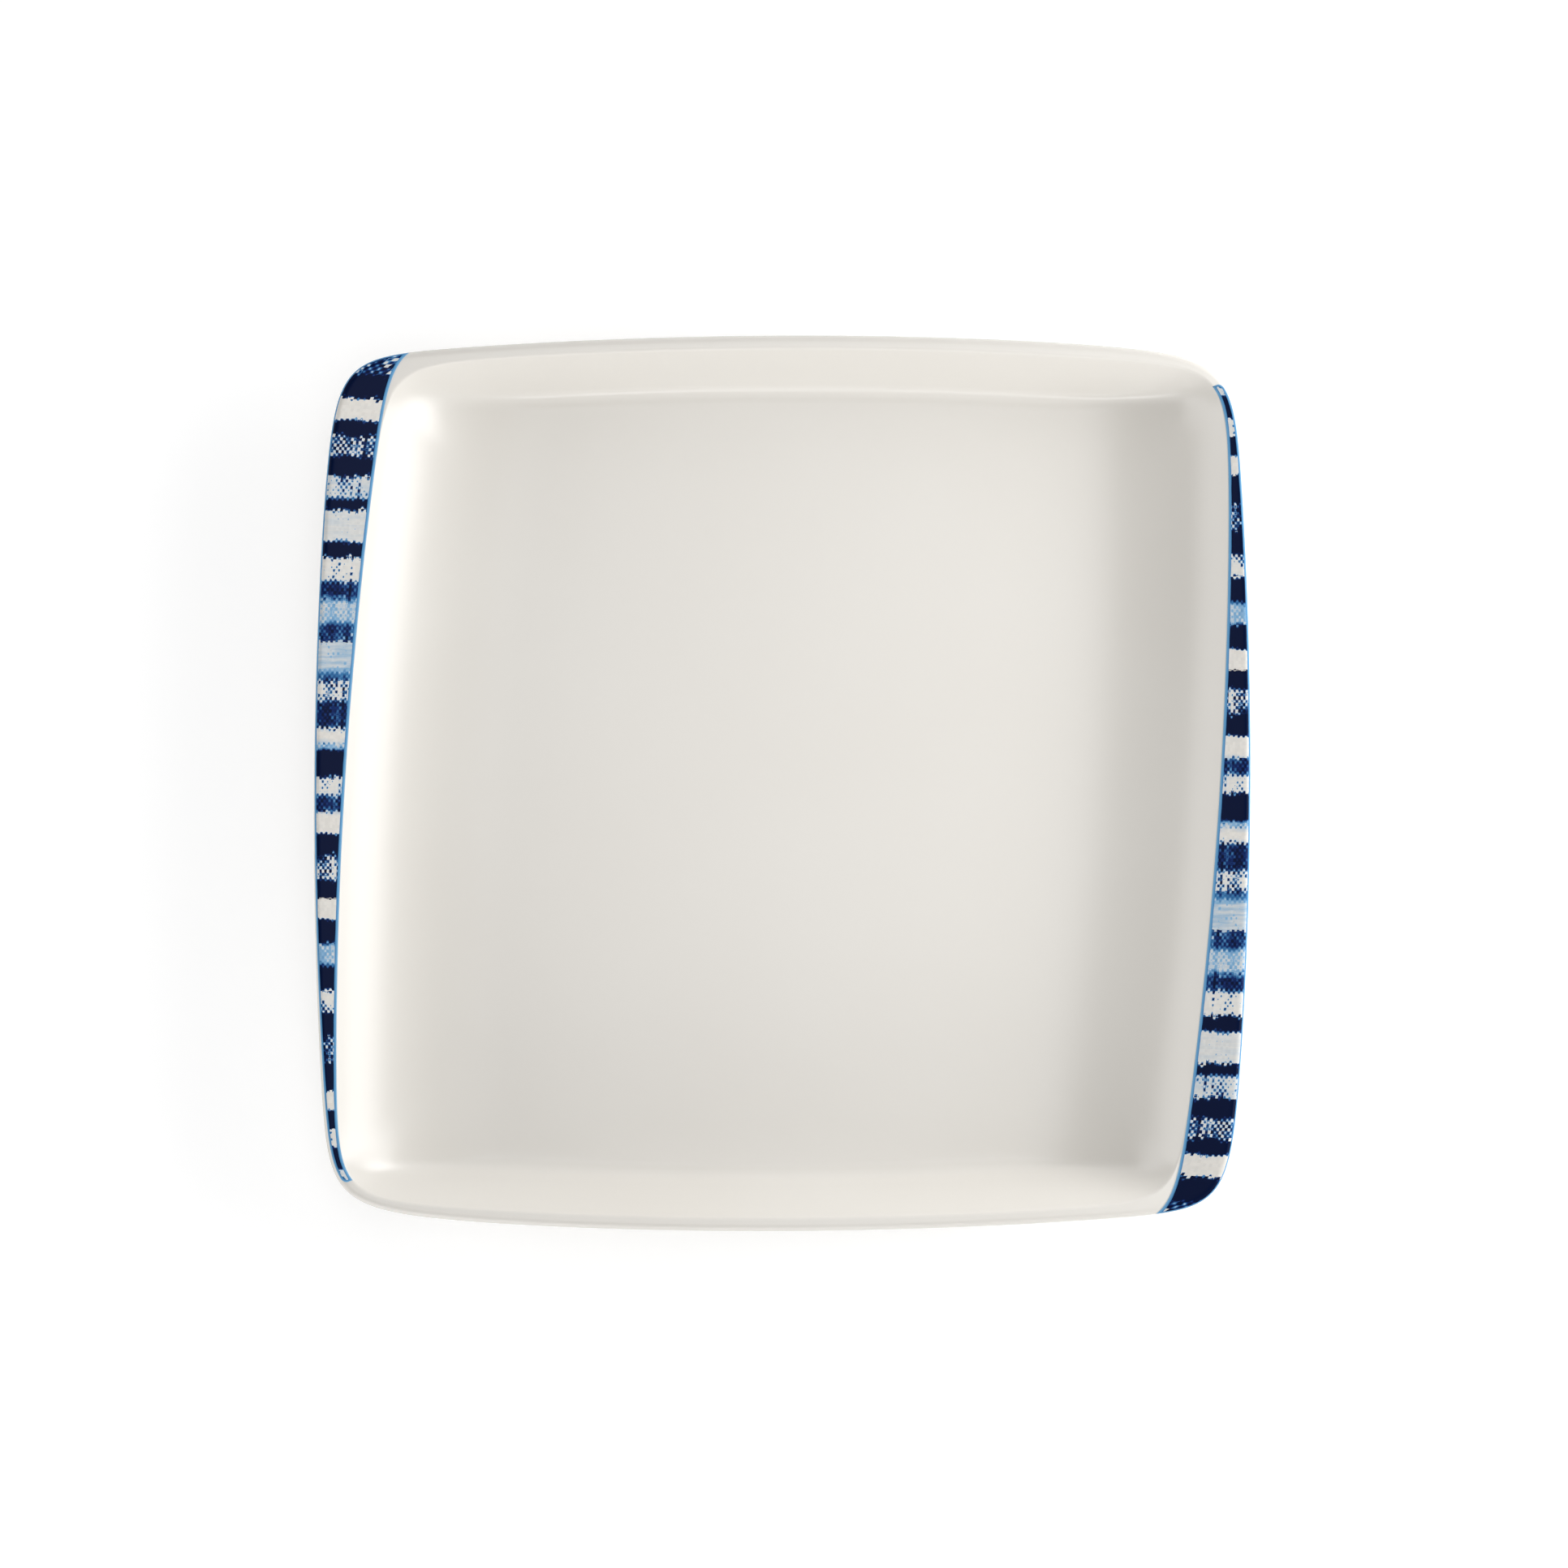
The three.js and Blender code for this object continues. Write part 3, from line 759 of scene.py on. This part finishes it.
glaze = glazedPorcelain()
biscuit = biscuitPorcelain()
ink = printedBorder()
pieces = [
    (porcelainBody, "porcelain_body", "biscuit", biscuit),
    (glazeCoat, "glaze_coat", "glaze", glaze),
    (undersideGlaze, "underside_glaze", "glaze", glaze),
    (leftBorder, "left_border_transfer", "indigo_print", ink),
    (rightBorder, "right_border_transfer", "indigo_print", ink),
]
for piece, node, slot, material in pieces:
    piece.data.materials.append(material)
    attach(piece, "root")
    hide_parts(node)
print("materials set")

# Studio: pale floor, soft boxes round the plate with the brightest at the right, white paper at both ends
studio = {
    "floorSize": 8,
    "floorColour": "#E6E6E6",
    "floorGlow": 0.42,
    "floorRoughness": 0.9,
    "floorGloss": 0.1,
    "endFill": 1.5,  # light that comes back from the paper at the ends
    "ceiling": 0.12,  # how bright the ceiling shows in a reflection, against 1 at the horizon
    "darkRange": (0.5, 0.87),  # heights between which the ceiling darkens, from 0 to 1 overhead
    "leftDark": 0.5,  # how much lower the dark comes down on the left
    "endLift": 0.5,  # how much higher it stays at the ends
    "boxFade": (0.5, 0.1),  # shares of a soft box's side, from its middle, at which it is dark and full
    "softBoxes": {  # place, size and power
        "right": ((0.55, 0.03, 0.24), (1.3, 0.5), 8.5),
        "rightFar": ((0.5, 0.2, 0.24), (1, 0.5), 4),
        "above": ((-0.1, 0.05, 1.2), (1.4, 0.9), 4.4),
        "aboveWide": ((0.05, 0.05, 1.2), (1.7, 1), 4.8),
        "left": ((-0.9, 0, 0.26), (1.6, 0.55), 6.9),
        "near": ((-0.2, -0.9, 0.2), (1.4, 0.4), 6.2),
    },
    "photoPixels": 1932,
    "photoScale": 0.23356,  # millimetres in one pixel at the rim
    "photoCentre": (964.2, 965.2),
    "lens": 150,
    "sensor": 36,
}


# 1 on the rays by which the camera, reflections and glass see, 0 on those that bring light
def seenRays(tree):
    path = addNode(tree, "LightPath")
    seen = addNode(tree, "Math", {
        0: path["Is Camera Ray"], 1: path["Is Glossy Ray"]}, operation="MAXIMUM")[0]
    return addNode(tree, "Math", {
        0: seen, 1: path["Is Transmission Ray"]}, operation="MAXIMUM")[0]


# A pale floor that glows a little to what sees it, so that it is white and keeps the plate's shadow
def studioFloor():
    half = studio["floorSize"] / 2 / mm
    points = np.array([(-half, -half, 0), (half, -half, 0), (half, half, 0), (-half, half, 0)])
    floor = newMesh("studio_floor", points, [(0, 1, 2, 3)])
    material, tree, shader = newMaterial("matte studio paper")
    glow = addNode(tree, "Math", {0: seenRays(tree), 1: studio["floorGlow"]}, operation="MULTIPLY")[0]
    shader.inputs["Base Color"].default_value = linear(studio["floorColour"])
    shader.inputs["Roughness"].default_value = studio["floorRoughness"]
    shader.inputs["Specular IOR Level"].default_value = studio["floorGloss"]
    shader.inputs["Emission Color"].default_value = (1, 1, 1, 1)
    tree.links.new(glow, shader.inputs["Emission Strength"])
    floor.data.materials.append(material)


# Soft box that is brightest in its middle and fades to its frame
def softBox(name, place, size, power):
    lamp = bpy.data.lights.new(name, "AREA")
    lamp.shape = "RECTANGLE"
    lamp.size, lamp.size_y = size
    lamp.energy = power
    lamp.use_nodes = True
    tree = lamp.node_tree
    spot = addNode(tree, "NewGeometry")["Parametric"]
    middle = (0.5, 0.5, 0)
    away = addNode(tree, "VectorMath", {0: spot, 1: middle}, operation="DISTANCE")["Value"]
    dark, full = studio["boxFade"]
    fade = addNode(tree, "MapRange", {
        "Value": away, "From Min": dark, "From Max": full}, interpolation_type="SMOOTHSTEP")[0]
    tree.links.new(fade, tree.nodes["Emission"].inputs["Strength"])
    holder = bpy.data.objects.new(name, lamp)
    holder.location = place
    toPlate = -holder.location
    holder.rotation_euler = toPlate.to_track_quat("-Z", "Y").to_euler()
    bpy.context.collection.objects.link(holder)


# Light comes from both ends, by y^2. What is seen is white at the horizon and goes dark with its height, z,
# which is raised on the left and lowered by y^2 at the ends
def surroundings():
    world = bpy.data.worlds.new("studio paper")
    bpy.context.scene.world = world
    world.use_nodes = True
    tree = world.node_tree
    direction = addNode(tree, "TexCoord")["Generated"]
    x, y, z = addNode(tree, "SeparateXYZ", {0: direction})
    square = addNode(tree, "Math", {0: y, 1: y}, operation="MULTIPLY")[0]
    fill = addNode(tree, "Math", {0: square, 1: studio["endFill"]}, operation="MULTIPLY")[0]
    left = addNode(tree, "MapRange", {
        "Value": x, "From Min": 0, "From Max": -1, "To Min": 0, "To Max": studio["leftDark"]})[0]
    turned = addNode(tree, "Math", {0: square, 1: -studio["endLift"], 2: left}, operation="MULTIPLY_ADD")[0]
    height = addNode(tree, "Math", {0: z, 1: turned}, operation="ADD")[0]
    white, dark = studio["darkRange"]
    shown = addNode(tree, "MapRange", {
        "Value": height, "From Min": white, "From Max": dark, "To Min": 1, "To Max": studio["ceiling"]},
        interpolation_type="SMOOTHSTEP")[0]
    strength = addNode(tree, "MapRange", {"Value": seenRays(tree), "To Min": fill, "To Max": shown})[0]
    sky = tree.nodes["Background"]
    sky.inputs["Color"].default_value = (1, 1, 1, 1)
    tree.links.new(strength, sky.inputs["Strength"])


# Straight above, as far away as gives the photo's scale at the rim
def camera():
    view = bpy.data.cameras.new("camera")
    view.lens = studio["lens"]
    view.sensor_width = studio["sensor"]
    holder = bpy.data.objects.new("camera", view)
    scale = studio["photoScale"]
    away = studio["photoPixels"] * scale * studio["lens"] / studio["sensor"]
    middle = studio["photoPixels"] / 2
    x = (middle - studio["photoCentre"][0]) * scale
    y = (studio["photoCentre"][1] - middle) * scale
    holder.location = (x * mm, y * mm, (away + plate["rimHeight"]) * mm)
    bpy.context.collection.objects.link(holder)
    bpy.context.scene.camera = holder


studioFloor()
for side, setting in studio["softBoxes"].items():
    softBox("soft_box_" + side, *setting)
surroundings()
camera()
bpy.context.scene.view_settings.view_transform = "Standard"
print("studio set")
